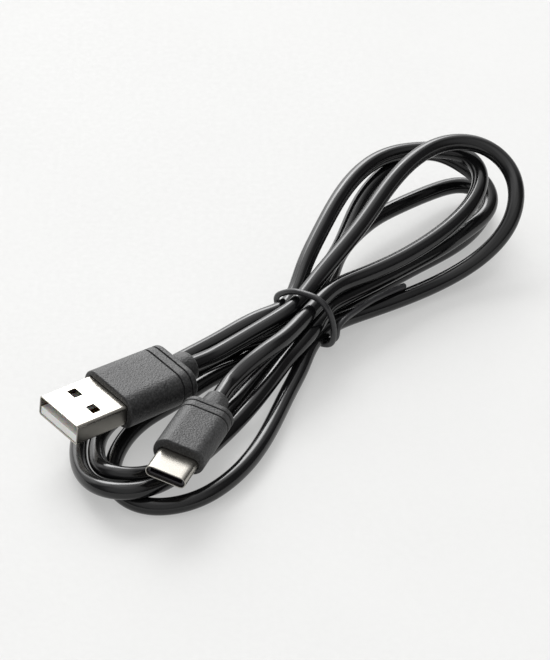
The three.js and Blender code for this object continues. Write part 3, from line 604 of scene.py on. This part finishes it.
# ------------------------------------------------------------------ shells, rolled from sheet
def sheet_shell(name, hw, hh, r, thick, xs, ys_top, windows, seam, matrix, material, corner=10, edge=0.07):
    """Outer skin of a sleeve as a grid, its windows and seam left out, then given the sheet's thickness."""
    pts = []
    def straight(y0, y1, z, marks):
        ms = sorted([m for m in marks if min(y0, y1) < m < max(y0, y1)], reverse=y0 > y1)
        return [(m, z) for m in ms]
    # right side up, top (towards -y), left side down, bottom
    for q, (cx, cz) in enumerate(((hw - r, hh - r), (-(hw - r), hh - r), (-(hw - r), -(hh - r)), (hw - r, -(hh - r)))):
        for i in range(corner + 1):
            a = (q + i / corner) * math.pi / 2
            pts.append((cx + r * math.cos(a), cz + r * math.sin(a)))
        if q == 0:
            pts += straight(hw - r, -(hw - r), hh, ys_top)
        elif q == 1 and hh - r > 0.05:
            pts += [(-hw, 0.0)]
        elif q == 2:
            pts += straight(-(hw - r), hw - r, -hh, ys_top + ([-seam, seam] if seam else []))
        elif q == 3 and hh - r > 0.05:
            pts += [(hw, 0.0)]
    m = len(pts)
    verts = [(x, y, z) for x in xs for y, z in pts]
    faces = []
    for i in range(len(xs) - 1):
        xm = (xs[i] + xs[i + 1]) / 2
        for j in range(m):
            k = (j + 1) % m
            ym = (pts[j][0] + pts[k][0]) / 2
            zm = (pts[j][1] + pts[k][1]) / 2
            if abs(abs(zm) - hh) < 1e-6:
                if any(a < xm < b and c < abs(ym) < d for a, b, c, d in windows):
                    continue
                if seam and zm < 0 and abs(ym) < seam:
                    continue
            faces.append((i * m + j, (i + 1) * m + j, (i + 1) * m + k, i * m + k))
    obj = new_object(name, verts, faces)
    bm = bmesh.new()
    bm.from_mesh(obj.data)
    bmesh.ops.delete(bm, geom=[v for v in bm.verts if not v.link_faces], context="VERTS")
    bmesh.ops.recalc_face_normals(bm, faces=bm.faces)
    f = max(bm.faces, key=lambda f: f.calc_center_median().z)
    if f.normal.z < 0:
        bmesh.ops.reverse_faces(bm, faces=bm.faces)
    bm.to_mesh(obj.data)
    bm.free()
    paint(obj, material)
    place(obj, matrix)
    s = obj.modifiers.new("sheet", "SOLIDIFY")
    s.thickness = thick * MM
    s.offset = -1
    s.use_even_offset = True
    b = bevel(obj, edge, 3, 50)
    b.harden_normals = True
    for poly in obj.data.polygons:
        poly.use_smooth = True
    return obj


a_shell = sheet_shell("usb_a_shell_sheet", 6.0, 2.25, 0.62, 0.3, [-5.4, -3, -0.5, 1.5, 3.2, 4.85, 5.8, 6.8, 8.4, 10, 11.2, 11.83],
                      [-4.15, -3.0, -1.7, 1.7, 3.0, 4.15, 0.8, -0.8], [(4.85, 6.8, 1.7, 4.15)], 0.04, MAT_A, STEEL)
# the narrow sides, picked by the way they face, get a darker and rougher copy of the steel than the wide faces
a_shell.data.materials.append(STEEL_SIDE)
sideways = (MAT_A.to_3x3() @ Vector((0, 1, 0))).normalized()
for poly in a_shell.data.polygons:
    if abs(poly.normal.dot(sideways)) > 0.98:
        poly.material_index = 1
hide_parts("usb_a_shell")
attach(a_shell, "usb_a_plug")
c_shell = sheet_shell("usb_c_shell_sheet", 4.125, 1.2, 1.18, 0.2, [-5.0, -2.5, 0, 2, 4, 5.4, 6.2, 6.56], [-2.4, -1.2, 0.0, 1.2, 2.4], [], 0, MAT_C, STEEL_C, corner=14, edge=0.085)
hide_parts("usb_c_shell")
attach(c_shell, "usb_c_plug")

# ------------------------------------------------------------------ the CAD pieces that stay
for name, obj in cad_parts.items():
    if name in ("cord_jacket", "twist_tie", "usb_a_shell", "usb_c_shell", "usb_a_overmould", "usb_c_overmould"):
        continue
    if "contact" in name:
        paint(obj, GOLD)
        bevel(obj, 0.03, 2)
    elif "latch" in name or "ground_spring" in name:
        paint(obj, SPRING)
        bevel(obj, 0.03, 2)
    elif "jacket_end" in name:
        paint(obj, JACKET)
    elif "crimp" in name or "shield" in name:
        paint(obj, STEEL_C)
        bevel(obj, 0.05, 2)
    elif name in ("usb_a_tongue_insulator", "usb_a_rear_block"):
        paint(obj, TONGUE)
        bevel(obj, 0.08, 3)
    elif name == "usb_c_housing":
        paint(obj, HOUSING)
        bevel(obj, 0.04, 2)
    elif "inner_mould" in name:
        paint(obj, PREMOULD)
        bevel(obj, 0.08, 2)
    elif "paddle" in name:
        paint(obj, BOARD)
        bevel(obj, 0.04, 2)
    elif "resistor" in name:
        paint(obj, CHIP)
        bevel(obj, 0.04, 2)
    elif "wire_" in name:
        paint(obj, WIRES[name.split("_")[-1]])

# ------------------------------------------------------------------ floor and light
bm = bmesh.new()
bmesh.ops.create_grid(bm, x_segments=4, y_segments=4, size=1.6)
me = bpy.data.meshes.new("floor")
bm.to_mesh(me)
bm.free()
floor = bpy.data.objects.new("floor", me)
scene.collection.objects.link(floor)
floor.location.z = -0.00005
paint(floor, floor_material())


# the studio is one smooth sky: a bright soft box behind and to the left in a band of windows, and a pale room in front
world = bpy.data.worlds.new("studio")
scene.world = world
world.use_nodes = True
wt = world.node_tree
wt.nodes.clear()
wo = wt.nodes.new("ShaderNodeOutputWorld")
bg = wt.nodes.new("ShaderNodeBackground")
wt.links.new(bg.outputs[0], wo.inputs[0])
bg.inputs["Color"].default_value = (1, 1, 1, 1)


def world_math(op, a, b=None):
    n = wt.nodes.new("ShaderNodeMath")
    n.operation = op
    for i, q in enumerate((a, b)):
        if q is None:
            continue
        if isinstance(q, (int, float)):
            n.inputs[i].default_value = q
        else:
            wt.links.new(q, n.inputs[i])
    return n.outputs[0]


tc = wt.nodes.new("ShaderNodeTexCoord")


def lobe(direction, inner, outer, gain):
    """A smooth round patch of the room: full gain within the inner angle, none beyond the outer."""
    d = wt.nodes.new("ShaderNodeVectorMath")
    d.operation = "DOT_PRODUCT"
    wt.links.new(tc.outputs["Generated"], d.inputs[0])
    d.inputs[1].default_value = Vector(direction).normalized()
    r = wt.nodes.new("ShaderNodeMapRange")
    r.interpolation_type = "SMOOTHSTEP"
    r.inputs["From Min"].default_value = math.cos(math.radians(outer))
    r.inputs["From Max"].default_value = math.cos(math.radians(inner))
    r.inputs["To Min"].default_value = 0.0
    r.inputs["To Max"].default_value = gain
    wt.links.new(d.outputs["Value"], r.inputs["Value"])
    return r.outputs[0]


def toward(elevation, azimuth):
    e, a = math.radians(elevation), math.radians(azimuth)
    return (math.sin(a) * math.cos(e), math.cos(a) * math.cos(e), math.sin(e))


# elevation, azimuth (0 is straight behind the object, -90 is its left), inner and outer angle, gain
SKY = ((40, -24, 6, 15, 8.2), (36, -2, 6, 15, 7.2), (38, -14, 14, 36, 1.1), (18, -55, 6, 24, 0.9), (18, -25, 6, 24, 2.1), (18, 5, 6, 24, 1.7), (18, 35, 6, 24, 0.4),
       (42, -60, 6, 24, 1.0), (42, 30, 6, 24, 0.6), (65, 10, 6, 26, 0.8), (65, -50, 6, 26, 0.7), (90, 0, 8, 36, 0.5), (50, 180, 15, 70, 0.66), (30, -100, 10, 45, 0.18), (30, 90, 10, 45, 0.13))
total = 0.0
for el, az, inner, outer, gain in SKY:
    total = world_math("ADD", total, lobe(toward(el, az), inner, outer, gain))
wt.links.new(total, bg.inputs["Strength"])

scene.view_settings.view_transform = "Standard"
scene.view_settings.look = "None"
